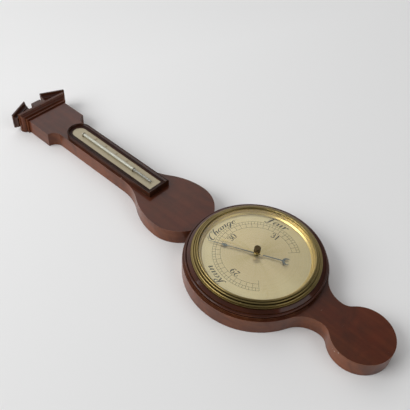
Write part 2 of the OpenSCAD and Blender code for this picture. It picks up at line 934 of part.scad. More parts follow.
module mainspring() {
    back_y = bridge_y + bridge_leg;
    color(steel)
        difference() {
            translate([0, 0, spring_z])
                linear_extrude(spring_t)
                    difference() {
                        union() {
                            translate([-spring_w, 0]) square([2 * spring_w, back_y]);
                            circle(spring_w);
                        }
                        circle(post_r + 0.8);
                        translate([-post_r - 0.8, 0]) square([2 * post_r + 1.6, 6]);
                    }
            for (side = [-1, 1])
                translate([side * spring_w / 2, bridge_y, spring_z - 1])
                    cylinder(r = 1, h = spring_t + 2, $fn = 24);
        }
}

module main_lever() {
    tip_y = rocker_y + arm_short;
    color(steel)
        translate([0, 0, lever_z + run])
            linear_extrude(lever_t)
                difference() {
                    union() {
                        circle(lever_w + 2);
                        polygon([
                            [lever_w, 0],
                            [-lever_w, 0],
                            [-lever_w * 0.5, tip_y],
                            [lever_w * 0.5, tip_y]]);
                        translate([0, tip_y]) circle(lever_w * 0.6);
                    }
                    circle(post_r + 0.02);
                    translate([0, tip_y]) circle(link_r + 0.02, $fn = 24);
                }
}

module connecting_link() {
    foot = rocker_z - 1.5;
    color(steel)
        translate([0, rocker_y + arm_short, foot])
            cylinder(r = link_r, h = lever_z + lever_t + 0.4 - foot, $fn = 24);
}

module rocker_shaft() {
    eye = link_r + 0.75;
    color(steel) {
        translate([-post_x - post_t / 2 - 0.6, rocker_y, rocker_z])
            rotate([0, 90, 0]) cylinder(r = shaft_r, h = 2 * post_x + post_t + 1.2, $fn = 48);
        difference() {
            union() {
                translate([-3.2, rocker_y, rocker_z])
                    rotate([0, 90, 0]) cylinder(r = shaft_r + 0.9, h = 5.4, $fn = 48);
                translate([0, rocker_y + arm_short, rocker_z - 0.5])
                    cylinder(r = eye + 0.8, h = 1, $fn = 32);
                translate([-1.2, rocker_y, rocker_z - 0.5]) cube([2.4, arm_short - eye, 1]);
            }
            translate([0, rocker_y + arm_short, rocker_z - 2]) cylinder(r = eye, h = 4, $fn = 32);
        }
        translate([-drum_r - chain_r - 0.5, rocker_y - arm_t, rocker_z])
            cube([1, 2 * arm_t, arm_long + 0.8]);
    }
}

module rocker_posts() {
    foot_w = 8;
    color(brass)
        for (side = [-1, 1])
            translate([side * post_x - post_t / 2, 0, 0])
                difference() {
                    union() {
                        translate([0, rocker_y - 2.8, mplate_top])
                            cube([post_t, 5.6, rocker_z - mplate_top]);
                        translate([0, rocker_y, rocker_z])
                            rotate([0, 90, 0]) cylinder(r = 2.8, h = post_t, $fn = 48);
                        translate([post_t / 2 - foot_w / 2, rocker_y - 2.8, mplate_top])
                            cube([foot_w, 5.6, 1.6]);
                    }
                    translate([-1, rocker_y, rocker_z])
                        rotate([0, 90, 0]) cylinder(r = shaft_r + run, h = post_t + 2, $fn = 48);
                }
}

module arbor_bridge() {
    half_w = 4;
    upper_x = 12;
    color(brass)
        difference() {
            union() {
                for (side = [-1, 1]) {
                    translate([side * cock_x, 0, mplate_top])
                        cylinder(r = 2.5, h = cock_z - mplate_top, $fn = 48);
                    translate([side * cock_x, 0, cock_z]) cylinder(r = half_w, h = cock_t);
                    translate([side * upper_x, 0, cock_z])
                        cylinder(r = 1.6, h = cock_top_z - cock_z, $fn = 32);
                    translate([side * upper_x, 0, cock_top_z - cock_t])
                        cylinder(r = half_w, h = cock_t);
                }
                translate([-cock_x, -half_w, cock_z]) cube([2 * cock_x, 2 * half_w, cock_t]);
                translate([-upper_x, -half_w, cock_top_z - cock_t])
                    cube([2 * upper_x, 2 * half_w, cock_t]);
                // stud that holds the hairspring's outer end
                translate([stud_r + 0.7, 0, hair_z])
                    cylinder(r = 0.6, h = cock_top_z - hair_z - 0.5, $fn = 16);
            }
            translate([0, 0, cock_z - 1]) cylinder(r = arbor_r + run, h = cock_top_z, $fn = 48);
        }
}

module adjusting_screw() {
    color(steel)
        difference() {
            union() {
                translate([0, adjust_y, mplate_z - 1.5]) cylinder(r = 3, h = 1.4);
                translate([0, adjust_y, mplate_z - 0.2])
                    cylinder(r = screw_r, h = beam_z - mplate_z + 0.1, $fn = 48);
            }
            translate([-4, adjust_y - 0.4, mplate_z - 2]) cube([8, 0.8, 1.1]);
        }
}

module back_cover() {
    color(dark_mahogany)
        difference() {
            cylinder(r = cover_r, h = cover_t, $fn = 180);
            translate([0, adjust_y, -1]) cylinder(r = 4.5, h = cover_t + 2);
            for (s = cover_screw_spots()) translate(s) screw(8, 0.05);
        }
}

module cover_screws() {
    color(brass)
        for (s = cover_screw_spots()) translate(s) slotted(cover_screw_l, s[1] * 3);
}

// Plate with round ends, in the board's plane.
module hanger_shape(g) {
    straight = hanger_h - 2 * hanger_w;
    for (side = [-1, 1])
        translate([0, side * straight / 2]) circle(hanger_w + g);
    translate([-hanger_w - g, -straight / 2]) square([2 * hanger_w + 2 * g, straight]);
}

module hanger_plate() {
    color(brass)
        difference() {
            translate([0, hanger_y, 0]) linear_extrude(hanger_t) hanger_shape(0);
            translate([0, hanger_y, -1]) cylinder(r = hook_r, h = hanger_t + 2);
            translate([-hook_r * 0.5, hanger_y, -1]) cube([hook_r, hook_r * 1.8, hanger_t + 2]);
            for (s = hanger_screw_spots()) translate(s) screw(hanger_t, 0.05);
        }
}

module hanger_screws() {
    color(brass)
        for (s = hanger_screw_spots()) translate(s) slotted(hanger_screw_l, s[1]);
}

backboard();
turned_surround();
cornice();
pediment_panel();
raking_left();
raking_right();
finial_block();
thermometer_frame();
thermometer_plate();
thermometer_tube();
thermometer_liquid();
tube_clips();
bezel();
bezel_pins();
sight_ring();
dial_glass();
glass_bush();
dial_plate();
set_knob();
set_spindle();
set_hand();
pointer_hand();
pointer_arbor();
hairspring();
chain();
movement_plate();
dial_pillars();
pillar_screws();
vacuum_capsule();
capsule_post();
spring_bridge();
mainspring();
main_lever();
connecting_link();
rocker_shaft();
rocker_posts();
arbor_bridge();
adjusting_screw();
back_cover();
cover_screws();
hanger_plate();
hanger_screws();
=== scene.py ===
import math

import bmesh
import bpy
from mathutils import Matrix, Quaternion, Vector


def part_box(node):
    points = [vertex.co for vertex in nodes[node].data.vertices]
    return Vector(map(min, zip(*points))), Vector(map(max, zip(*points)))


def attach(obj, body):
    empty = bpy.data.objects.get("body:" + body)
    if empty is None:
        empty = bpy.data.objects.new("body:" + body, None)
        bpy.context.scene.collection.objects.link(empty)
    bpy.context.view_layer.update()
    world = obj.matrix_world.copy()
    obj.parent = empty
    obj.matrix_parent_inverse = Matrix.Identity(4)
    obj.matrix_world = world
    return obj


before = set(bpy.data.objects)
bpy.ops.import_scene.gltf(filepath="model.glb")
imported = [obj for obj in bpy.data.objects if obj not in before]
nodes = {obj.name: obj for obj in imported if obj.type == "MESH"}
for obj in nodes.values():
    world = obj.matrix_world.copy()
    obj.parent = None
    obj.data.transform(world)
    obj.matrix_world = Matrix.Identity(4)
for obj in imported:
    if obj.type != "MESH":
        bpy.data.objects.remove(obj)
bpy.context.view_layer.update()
mm = 0.001
scene = bpy.context.scene
print("frame loaded:", len(nodes), "pieces")


# camera: place, roll and lens
cameraSetup = {
    "azimuth": -50.72,
    "elevation": 45.96,
    "distance": 0.9917,
    "roll": 4.10,
    "target": (0.04955, 0.14557, 0.0),
    "lens": 51.80,
    "sensor": 36.0,
}


def makeCamera(setup):
    azimuth = math.radians(setup["azimuth"])
    elevation = math.radians(setup["elevation"])
    away = Vector((
        math.sin(azimuth) * math.cos(elevation),
        -math.cos(azimuth) * math.cos(elevation),
        math.sin(elevation),
    ))
    data = bpy.data.cameras.new("camera")
    data.lens = setup["lens"]
    data.sensor_width = setup["sensor"]
    data.sensor_fit = "HORIZONTAL"
    data.clip_start = 0.01
    data.clip_end = 50
    camera = bpy.data.objects.new("camera", data)
    scene.collection.objects.link(camera)
    camera.rotation_mode = "QUATERNION"
    roll = Quaternion((0, 0, 1), math.radians(setup["roll"]))
    camera.rotation_quaternion = away.to_track_quat("Z", "Y") @ roll
    camera.location = Vector(setup["target"]) + away * setup["distance"]
    scene.camera = camera


makeCamera(cameraSetup)
scene.view_settings.view_transform = "Standard"
print("camera set")


# short hands for building shader nodes
def newNode(tree, kind, at=(0, 0), **values):
    node = tree.nodes.new(kind)
    node.location = at
    for key, value in values.items():
        setattr(node, key, value)
    return node


def join(tree, fromSocket, toSocket):
    tree.links.new(fromSocket, toSocket)


def setInputs(node, **values):
    for key, value in values.items():
        node.inputs[key.replace("_", " ")].default_value = value


def mathNode(tree, operation, first, second, clamp=False):
    node = newNode(tree, "ShaderNodeMath", operation=operation, use_clamp=clamp)
    for index, value in enumerate((first, second)):
        if isinstance(value, (int, float)):
            node.inputs[index].default_value = value
        else:
            join(tree, value, node.inputs[index])
    return node.outputs[0]


def mixColour(tree, factor, first, second, blend="MIX"):
    node = newNode(tree, "ShaderNodeMix", data_type="RGBA", blend_type=blend)
    for socket, value in ((node.inputs[0], factor), (node.inputs[6], first), (node.inputs[7], second)):
        if isinstance(value, (int, float)):
            socket.default_value = value
        elif isinstance(value, tuple):
            socket.default_value = (*value, 1)
        else:
            join(tree, value, socket)
    return node.outputs[2]


def noise(tree, vector, scale, detail=4, roughness=0.55, distortion=0.0):
    node = newNode(tree, "ShaderNodeTexNoise")
    setInputs(node, Scale=scale, Detail=detail, Roughness=roughness, Distortion=distortion)
    join(tree, vector, node.inputs["Vector"])
    return node.outputs["Fac"]


def spread(tree, value, low, high, toLow=0.0, toHigh=1.0):
    node = newNode(tree, "ShaderNodeMapRange")
    node.inputs["From Min"].default_value = low
    node.inputs["From Max"].default_value = high
    node.inputs["To Min"].default_value = toLow
    node.inputs["To Max"].default_value = toHigh
    join(tree, value, node.inputs["Value"])
    return node.outputs["Result"]


def stretched(tree, vector, scale, turn=(0, 0, 0)):
    node = newNode(tree, "ShaderNodeMapping")
    node.inputs["Scale"].default_value = scale
    node.inputs["Rotation"].default_value = turn
    join(tree, vector, node.inputs["Vector"])
    return node.outputs["Vector"]


def newGroup(name, inputs, outputs):
    tree = bpy.data.node_groups.new(name, "ShaderNodeTree")
    kinds = {"colour": "NodeSocketColor", "value": "NodeSocketFloat", "vector": "NodeSocketVector"}
    for label, kind in inputs:
        tree.interface.new_socket(label, in_out="INPUT", socket_type=kinds[kind])
    for label, kind in outputs:
        tree.interface.new_socket(label, in_out="OUTPUT", socket_type=kinds[kind])
    return tree, newNode(tree, "NodeGroupInput"), newNode(tree, "NodeGroupOutput")


def useGroup(tree, group, **values):
    node = newNode(tree, "ShaderNodeGroup", node_tree=group)
    for key, value in values.items():
        socket = node.inputs[key.replace("_", " ")]
        if isinstance(value, (int, float)):
            socket.default_value = value
        elif isinstance(value, tuple):
            socket.default_value = (*value, 1) if socket.type == "RGBA" else value
        else:
            join(tree, value, socket)
    return node


def newMaterial(name):
    material = bpy.data.materials.new(name)
    material.use_nodes = True
    tree = material.node_tree
    tree.nodes.clear()
    output = newNode(tree, "ShaderNodeOutputMaterial", (600, 0))
    shader = newNode(tree, "ShaderNodeBsdfPrincipled", (200, 0))
    join(tree, shader.outputs[0], output.inputs["Surface"])
    place = newNode(tree, "ShaderNodeTexCoord", (-900, 0)).outputs["Object"]
    return material, tree, shader, place


def addBump(tree, shader, height, strength, distance):
    bump = newNode(tree, "ShaderNodeBump")
    bump.inputs["Strength"].default_value = strength
    bump.inputs["Distance"].default_value = distance
    join(tree, height, bump.inputs["Height"])
    join(tree, bump.outputs["Normal"], shader.inputs["Normal"])


# effects that several materials share
wearSetup = {
    "samples": 6,
    "turn": (0.995, 0.8),  # cosine between rounded and true normal, for no wear and for full wear
    "patchScale": 90,
    "patches": (0.42, 0.62),
}


def makeEdgeWear(setup):
    # worn along the edges, broken up so that it isn't an outline
    tree, inputs, outputs = newGroup(
        "edge wear",
        [("Vector", "vector"), ("Reach", "value"), ("Amount", "value")],
        [("Mask", "value")])
    rounded = newNode(tree, "ShaderNodeBevel", samples=setup["samples"])
    join(tree, inputs.outputs["Reach"], rounded.inputs["Radius"])
    unrounded = newNode(tree, "ShaderNodeNewGeometry")
    dot = newNode(tree, "ShaderNodeVectorMath", operation="DOT_PRODUCT")
    join(tree, rounded.outputs["Normal"], dot.inputs[0])
    join(tree, unrounded.outputs["Normal"], dot.inputs[1])
    edge = spread(tree, dot.outputs["Value"], *setup["turn"])
    broken = noise(tree, inputs.outputs["Vector"], setup["patchScale"], 6, 0.7)
    patches = spread(tree, broken, *setup["patches"])
    mask = mathNode(tree, "MULTIPLY", edge, patches)
    mask = mathNode(tree, "MULTIPLY", mask, inputs.outputs["Amount"], clamp=True)
    join(tree, mask, outputs.inputs["Mask"])
    return tree


dustSetup = {
    "cellScale": 95,
    "largest": 0.13,  # speck radius as a share of a cell
    "sparse": 0.53,
    "filmScale": 22,
}


def makeDust(setup):
    # pale specks and a thin film
    tree, inputs, outputs = newGroup(
        "dust",
        [("Vector", "vector"), ("Amount", "value")],
        [("Specks", "value"), ("Film", "value")])
    cells = newNode(tree, "ShaderNodeTexVoronoi", feature="F1")
    cells.inputs["Scale"].default_value = setup["cellScale"]
    join(tree, inputs.outputs["Vector"], cells.inputs["Vector"])
    size = noise(tree, inputs.outputs["Vector"], 60, 2)
    reach = spread(tree, size, 0.5, 0.8, 0.0, setup["largest"])
    inside = mathNode(tree, "LESS_THAN", cells.outputs["Distance"], reach)
    where = noise(tree, inputs.outputs["Vector"], 31, 2)
    sparse = mathNode(tree, "GREATER_THAN", where, setup["sparse"])
    specks = mathNode(tree, "MULTIPLY", inside, sparse)
    specks = mathNode(tree, "MULTIPLY", specks, inputs.outputs["Amount"], clamp=True)
    join(tree, specks, outputs.inputs["Specks"])
    film = spread(tree, noise(tree, inputs.outputs["Vector"], setup["filmScale"], 5, 0.65), 0.35, 0.75)
    join(tree, mathNode(tree, "MULTIPLY", film, inputs.outputs["Amount"]), outputs.inputs["Film"])
    return tree


grainSetup = {
    # scales across the board, along it and through it
    "streaks": (60, 3.2, 60),
    "figure": (14, 4.5, 14),
    "pores": (2600, 170, 2600),
    "ribbonScale": 16,
    "tone": (0.4, 0.85),
    "poreDepth": 0.45,
    "poreColour": (0.012, 0.005, 0.004),
}


def makeWoodGrain(setup):
    # mahogany: long streaks, ribbon figure and short dark pores, all along local Y
    tree, inputs, outputs = newGroup(
        "mahogany grain",
        [("Vector", "vector"), ("Dark", "colour"), ("Light", "colour"), ("Ribbon", "value")],
        [("Color", "colour"), ("Height", "value")])
    vector = inputs.outputs["Vector"]
    streaks = noise(tree, stretched(tree, vector, setup["streaks"]), 1, 7, 0.6, 0.8)
    broad = noise(tree, stretched(tree, vector, setup["figure"]), 1, 3, 0.5, 0.4)
    wave = newNode(tree, "ShaderNodeTexWave", wave_type="BANDS", bands_direction="X")
    setInputs(wave, Scale=setup["ribbonScale"], Distortion=7, Detail=3, Detail_Scale=1.2)
    join(tree, stretched(tree, vector, (1, 0.12, 1)), wave.inputs["Vector"])
    ribbon = mathNode(tree, "MULTIPLY", wave.outputs["Fac"], inputs.outputs["Ribbon"])
    figure = mathNode(tree, "MULTIPLY", broad, 0.5)
    tone = mathNode(tree, "ADD", mathNode(tree, "MULTIPLY", streaks, 0.7), figure)
    tone = mathNode(tree, "ADD", tone, ribbon)
    tone = spread(tree, tone, *setup["tone"])
    colour = mixColour(tree, tone, inputs.outputs["Dark"], inputs.outputs["Light"])
    poreNoise = noise(tree, stretched(tree, vector, setup["pores"]), 1, 2, 0.5)
    pores = spread(tree, poreNoise, 0.62, 0.7)
    darkened = mathNode(tree, "MULTIPLY", pores, setup["poreDepth"])
    colour = mixColour(tree, darkened, colour, setup["poreColour"])
    join(tree, colour, outputs.inputs["Color"])
    height = mathNode(tree, "SUBTRACT", mathNode(tree, "MULTIPLY", streaks, 0.35), pores)
    join(tree, height, outputs.inputs["Height"])
    return tree


latheSetup = {
    "lineScale": 2400,
    "cloudScale": 34,
    "fineScale": 210,
    "cleanStart": 0.74,  # clouds above this tarnish on new metal
    "ageShift": 0.4,
    "patchEdge": 4.0,
    "lineTint": (0.9, 1.08),
}


def makeTurnedMetal(setup):
    # lathe lines round Z with tarnish in cloudy patches
    tree, inputs, outputs = newGroup(
        "turned metal",
        [("Vector", "vector"), ("Bright", "colour"), ("Tarnish", "colour"),
         ("Age", "value"), ("Lines", "value")],
        [("Color", "colour"), ("Tarnished", "value"), ("Height", "value")])
    vector = inputs.outputs["Vector"]
    parts = newNode(tree, "ShaderNodeSeparateXYZ")
    join(tree, vector, parts.inputs[0])
    flat = newNode(tree, "ShaderNodeCombineXYZ")
    join(tree, parts.outputs["X"], flat.inputs["X"])
    join(tree, parts.outputs["Y"], flat.inputs["Y"])
    length = newNode(tree, "ShaderNodeVectorMath", operation="LENGTH")
    join(tree, flat.outputs[0], length.inputs[0])
    ring = newNode(tree, "ShaderNodeCombineXYZ")
    join(tree, length.outputs["Value"], ring.inputs["X"])
    join(tree, parts.outputs["Z"], ring.inputs["Z"])
    lines = noise(tree, ring.outputs[0], setup["lineScale"], 3, 0.7)
    clouds = noise(tree, vector, setup["cloudScale"], 6, 0.68, 0.4)
    fine = noise(tree, vector, setup["fineScale"], 4, 0.6)
    grain = mathNode(tree, "MULTIPLY", fine, 0.3)
    patch = mathNode(tree, "ADD", mathNode(tree, "MULTIPLY", clouds, 0.75), grain)
    shift = mathNode(tree, "MULTIPLY", inputs.outputs["Age"], setup["ageShift"])
    start = mathNode(tree, "SUBTRACT", setup["cleanStart"], shift)
    above = mathNode(tree, "SUBTRACT", patch, start)
    tarnished = mathNode(tree, "MULTIPLY", above, setup["patchEdge"], clamp=True)
    colour = mixColour(tree, tarnished, inputs.outputs["Bright"], inputs.outputs["Tarnish"])
    streak = spread(tree, lines, 0.3, 0.7, *setup["lineTint"])
    tint = newNode(tree, "ShaderNodeCombineColor")
    for index in range(3):
        join(tree, streak, tint.inputs[index])
    colour = mixColour(tree, 1.0, colour, tint.outputs[0], "MULTIPLY")
    join(tree, colour, outputs.inputs["Color"])
    join(tree, tarnished, outputs.inputs["Tarnished"])
    join(tree, mathNode(tree, "MULTIPLY", lines, inputs.outputs["Lines"]), outputs.inputs["Height"])
    return tree


edgeWear = makeEdgeWear(wearSetup)
dust = makeDust(dustSetup)
woodGrain = makeWoodGrain(grainSetup)
turnedMetal = makeTurnedMetal(latheSetup)
print("shared effects built")


# old polished mahogany with painted light: tops painted darker and sides painted paler, standing in for
# floor light falling on the sides
woodFinish = {
    # painted light: shaded colours for the tops, lit colours for the sides
    "shadedTopDark": (0.042, 0.0096, 0.0042),
    "shadedTopPale": (0.097, 0.0255, 0.0095),
    "litSideDark": (0.088, 0.022, 0.0070),
    "litSidePale": (0.235, 0.073, 0.025),
    "cloud": (0.11, 0.018, 0.007),
    "shade": (0.032, 0.012, 0.007),
    "wornEdge": (0.32, 0.14, 0.06),
    "dustColour": (0.5, 0.44, 0.38),
    "cloudScale": 13,
    "cloudDepth": 0.4,
    "shadeScale": 24,
    "shadeDepth": 0.5,
    "wornReach": 0.9 * mm,
    "dustAmount": 0.8,
    "roughness": (0.34, 0.52),
    "coatWeight": 0.4,
    "coatRoughness": 0.08,
    "coatIndex": 1.5,
    "specular": 0.19,
    "poreBump": 0.12,
    "poreReach": 0.15 * mm,
}


# painted light comes in through the top and side colours; the top depth darkens the tops further as
# painted shade
def mahogany(name, turn=0.0, depth=1.0, ribbon=0.1, wear=0.6, topShadeDepth=1.0, polish=1.0, bloom=1.0):
    material, tree, shader, place = newMaterial(name)
    along = stretched(tree, place, (1, 1, 1), (0, 0, turn))
    finish = woodFinish
    top = useGroup(tree, woodGrain, Vector=along, Ribbon=ribbon,
                   Dark=tuple(c * depth * topShadeDepth for c in finish["shadedTopDark"]),
                   Light=tuple(c * depth * topShadeDepth for c in finish["shadedTopPale"]))
    side = useGroup(tree, woodGrain, Vector=along, Ribbon=ribbon * 0.5,
                    Dark=tuple(c * depth for c in finish["litSideDark"]),
                    Light=tuple(c * depth for c in finish["litSidePale"]))
    geometry = newNode(tree, "ShaderNodeNewGeometry")
    facing = newNode(tree, "ShaderNodeSeparateXYZ")
    join(tree, geometry.outputs["Normal"], facing.inputs[0])
    # painted light: faces turned up get the shaded top colours, the others the lit side colours
    isShadedTop = spread(tree, facing.outputs["Z"], 0.15, 0.85)
    colour = mixColour(tree, isShadedTop, side.outputs["Color"], top.outputs["Color"])
    # old polish: reddish and brown clouds
    clouds = spread(tree, noise(tree, place, finish["cloudScale"], 4, 0.6, 0.6), 0.35, 0.7)
    colour = mixColour(tree, mathNode(tree, "MULTIPLY", clouds, finish["cloudDepth"]), colour,
                       tuple(c * depth for c in finish["cloud"]))
    shade = spread(tree, noise(tree, place, finish["shadeScale"], 5, 0.65, 0.9), 0.45, 0.68)
    colour = mixColour(tree, mathNode(tree, "MULTIPLY", shade, finish["shadeDepth"]), colour,
                       tuple(c * depth for c in finish["shade"]))
    worn = useGroup(tree, edgeWear, Vector=place, Reach=finish["wornReach"], Amount=wear)
    colour = mixColour(tree, worn.outputs["Mask"], colour, finish["wornEdge"])
    dirt = useGroup(tree, dust, Vector=place, Amount=finish["dustAmount"])
    colour = mixColour(tree, dirt.outputs["Specks"], colour, finish["dustColour"])
    join(tree, colour, shader.inputs["Base Color"])
    rough = spread(tree, dirt.outputs["Film"], 0, 1, *finish["roughness"])
    join(tree, rough, shader.inputs["Roughness"])
    shader.inputs["Coat Weight"].default_value = finish["coatWeight"] * polish
    shader.inputs["Coat Roughness"].default_value = finish["coatRoughness"]
    shader.inputs["Coat IOR"].default_value = finish["coatIndex"]
    shader.inputs["Specular IOR Level"].default_value = finish["specular"] * bloom
    addBump(tree, shader, top.outputs["Height"], finish["poreBump"], finish["poreReach"])
    return material


acrossBoard = math.radians(90)
rakeTurn = math.radians(26)  # pitch of the pediment
boardWood = mahogany("mahogany board", wear=0.9, bloom=0.85)
ringWood = mahogany("mahogany ring", depth=0.6, ribbon=0.1, wear=0.5, polish=1.3, bloom=0.15)
# painted shade: the box's tops darker still
boxWood = mahogany("mahogany box", depth=0.31, ribbon=0.1, wear=1.0, topShadeDepth=0.7, polish=0.5, bloom=0.2)
corniceWood = mahogany("mahogany cornice", turn=acrossBoard, depth=0.85, wear=0.9, polish=0.8, bloom=0.5)
panelWood = mahogany("mahogany panel", turn=acrossBoard, depth=0.6)
rakeLeftWood = mahogany("mahogany rake left", turn=acrossBoard - rakeTurn, depth=0.55)
rakeRightWood = mahogany("mahogany rake right", turn=acrossBoard + rakeTurn, depth=0.55)
coverWood = mahogany("mahogany cover", depth=0.5, wear=0.3)


# brass, bronze and steel
metalFinish = {
    "wornReach": 0.5 * mm,
    "wornLighter": 1.5,
    "tarnishRougher": 0.22,
    "lineBump": 0.25,
    "lineReach": 0.02 * mm,
}


def brass(name, bright, tarnish, age, roughness, lines=0.4, wear=0.3):
    material, tree, shader, place = newMaterial(name)
    finish = metalFinish
    metal = useGroup(tree, turnedMetal, Vector=place, Bright=bright, Tarnish=tarnish,
                     Age=age, Lines=lines)
    worn = useGroup(tree, edgeWear, Vector=place, Reach=finish["wornReach"], Amount=wear)
    colour = mixColour(tree, worn.outputs["Mask"], metal.outputs["Color"],
                       tuple(min(1.0, c * finish["wornLighter"]) for c in bright))
    join(tree, colour, shader.inputs["Base Color"])
    rougher = roughness + finish["tarnishRougher"]
    rough = spread(tree, metal.outputs["Tarnished"], 0, 1, roughness, rougher)
    join(tree, rough, shader.inputs["Roughness"])
    shader.inputs["Metallic"].default_value = 1
    addBump(tree, shader, metal.outputs["Height"], finish["lineBump"], finish["lineReach"])
    return material


def steel(name, colour, roughness, tarnish=(0.08, 0.06, 0.05), age=0.2):
    return brass(name, colour, tarnish, age, roughness, lines=0.3, wear=0.2)


agedBrass = brass("aged brass", (0.25, 0.19, 0.077), (0.11, 0.08, 0.03), 0.45, 0.28, 0.12, 0.15)
sightBrass = brass("sight ring brass", (0.54, 0.41, 0.155), (0.42, 0.31, 0.11), 0.35, 0.4, 0.1, 0.0)
handBrass = brass("hand brass", (0.62, 0.49, 0.22), (0.36, 0.27, 0.11), 0.3, 0.3)
plateBrass = brass("movement brass", (0.72, 0.57, 0.25), (0.35, 0.25, 0.10), 0.35, 0.3)
wireBrass = brass("clip wire", (0.20, 0.15, 0.08), (0.05, 0.035, 0.02), 0.5, 0.4)
knobBronze = brass("knob bronze", (0.10, 0.07, 0.035), (0.025, 0.018, 0.012), 0.55, 0.32, wear=0.8)
bluedSteel = steel("blued steel", (0.14, 0.165, 0.155), 0.36, (0.06, 0.07, 0.065), 0.4)
brightSteel = steel("bright steel", (0.60, 0.60, 0.60), 0.28)
nickelSilver = steel("nickel silver", (0.68, 0.66, 0.60), 0.25, (0.4, 0.36, 0.28))
quicksilver = steel("quicksilver", (0.80, 0.81, 0.82), 0.06, (0.6, 0.6, 0.62), 0.1)
print("wood and metal ready")


# dial and thermometer scale
silverFinish = {
    "tarnish": (0.86, 0.79, 0.62),
    "age": 0.35,
    "lines": 0.6,
    "stainScale": 17,
    "stainTint": (0.86, 0.8, 0.66),
    "stainDepth": 0.35,
    # painted reflection: fans of sheen round the middle of the dial
    "sheenFanScale": 1.6,
    "sheenFanColour": (0.42, 0.33, 0.10),
    "sheenFanReach": (6 * mm, 50 * mm),
    "sheenFanDepth": (0.55, 0.08),
    "tarnishRougher": 0.1,
    "lineBump": 0.1,
    "lineReach": 0.01 * mm,
}


def silvered(name, inner, outer, change, metallic, roughness, anisotropy=0.0):
    # radial change of tone, brushed round Z
    material, tree, shader, place = newMaterial(name)
    finish = silverFinish
    metal = useGroup(tree, turnedMetal, Vector=place, Bright=(1.0, 1.0, 1.0),
                     Tarnish=finish["tarnish"], Age=finish["age"], Lines=finish["lines"])
    flat = newNode(tree, "ShaderNodeVectorMath", operation="MULTIPLY")
    flat.inputs[1].default_value = (1, 1, 0)
    join(tree, place, flat.inputs[0])
    length = newNode(tree, "ShaderNodeVectorMath", operation="LENGTH")
    join(tree, flat.outputs[0], length.inputs[0])
    outward = spread(tree, length.outputs["Value"], change[0], change[1])
    tone = mixColour(tree, outward, inner, outer)
    stains = noise(tree, place, finish["stainScale"], 5, 0.6, 0.5)
    stains = spread(tree, stains, 0.45, 0.75, 0, finish["stainDepth"])
    tone = mixColour(tree, stains, tone, tuple(c * f for c, f in zip(inner, finish["stainTint"])))
    colour = mixColour(tree, 1.0, tone, metal.outputs["Color"], "MULTIPLY")
    if anisotropy:
        # painted reflection: soft fans of brushed-metal sheen round the middle
        heading = newNode(tree, "ShaderNodeVectorMath", operation="NORMALIZE")
        join(tree, flat.outputs[0], heading.inputs[0])
        sheenFans = spread(tree, noise(tree, heading.outputs[0], finish["sheenFanScale"], 4, 0.6), 0.42, 0.62)
        fading = spread(tree, length.outputs["Value"], *finish["sheenFanReach"], *finish["sheenFanDepth"])
        colour = mixColour(tree, mathNode(tree, "MULTIPLY", sheenFans, fading), colour, finish["sheenFanColour"])
    join(tree, colour, shader.inputs["Base Color"])
    rougher = roughness + finish["tarnishRougher"]
    rough = spread(tree, metal.outputs["Tarnished"], 0, 1, roughness, rougher)
    join(tree, rough, shader.inputs["Roughness"])
    shader.inputs["Metallic"].default_value = metallic
    if anisotropy:
        shader.inputs["Anisotropic"].default_value = anisotropy
        tangent = newNode(tree, "ShaderNodeTangent", direction_type="RADIAL", axis="Z")
        join(tree, tangent.outputs[0], shader.inputs["Tangent"])
    addBump(tree, shader, metal.outputs["Height"], finish["lineBump"], finish["lineReach"])
    return material


dialSilver = silvered(
    "silvered dial",
    inner=(0.61, 0.495, 0.28),
    outer=(0.68, 0.58, 0.335),
    change=(40 * mm, 75 * mm),
    metallic=0.85,
    roughness=0.3,
    anisotropy=0.7,
)
scaleSilver = silvered(
    "silvered scale",
    inner=(0.40, 0.35, 0.24),
    outer=(0.40, 0.35, 0.24),
    change=(100 * mm, 200 * mm),
    metallic=0.4,
    roughness=0.42,
)


glassIndex = 1.47


def clearGlass(name, tint, roughness):
    # lets light through to the dial, so that it isn't left in shadow
    material, tree, shader, place = newMaterial(name)
    shader.inputs["Base Color"].default_value = (*tint, 1)
    shader.inputs["Roughness"].default_value = roughness
    shader.inputs["Transmission Weight"].default_value = 1
    shader.inputs["IOR"].default_value = glassIndex
    smears = noise(tree, place, 26, 5, 0.65, 0.3)
    addBump(tree, shader, smears, 0.02, 0.05 * mm)
    clear = newNode(tree, "ShaderNodeBsdfTransparent")
    clear.inputs["Color"].default_value = (*tint, 1)
    path = newNode(tree, "ShaderNodeLightPath")
    mix = newNode(tree, "ShaderNodeMixShader")
    join(tree, path.outputs["Is Shadow Ray"], mix.inputs[0])
    join(tree, shader.outputs[0], mix.inputs[1])
    join(tree, clear.outputs[0], mix.inputs[2])
    output = next(node for node in tree.nodes if node.type == "OUTPUT_MATERIAL")
    join(tree, mix.outputs[0], output.inputs["Surface"])
    return material


dialGlass = clearGlass("dial glass", (0.985, 0.995, 0.985), 0.0)


tubeFinish = {
    "stem": (0.68, 0.68, 0.57),
    "bulb": (0.34, 0.34, 0.30),
    "blend": 2 * mm,
    "roughness": 0.14,
    "clearness": 0.25,
}


def milkyTube(name, finish, bulbEnd):
    # backed with white enamel along the stem, silvery where the bulb holds the mercury
    material, tree, shader, place = newMaterial(name)
    parts = newNode(tree, "ShaderNodeSeparateXYZ")
    join(tree, place, parts.inputs[0])
    isStem = spread(tree, parts.outputs["Y"], bulbEnd, bulbEnd + finish["blend"])
    join(tree, mixColour(tree, isStem, finish["bulb"], finish["stem"]), shader.inputs["Base Color"])
    shader.inputs["Roughness"].default_value = finish["roughness"]
    shader.inputs["Transmission Weight"].default_value = finish["clearness"]
    shader.inputs["IOR"].default_value = glassIndex
    return material


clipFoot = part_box("tube_clips")[0][1]  # lower end of the lower clip
tubeGlass = milkyTube("tube glass", tubeFinish, clipFoot)


inkShine = 0.15


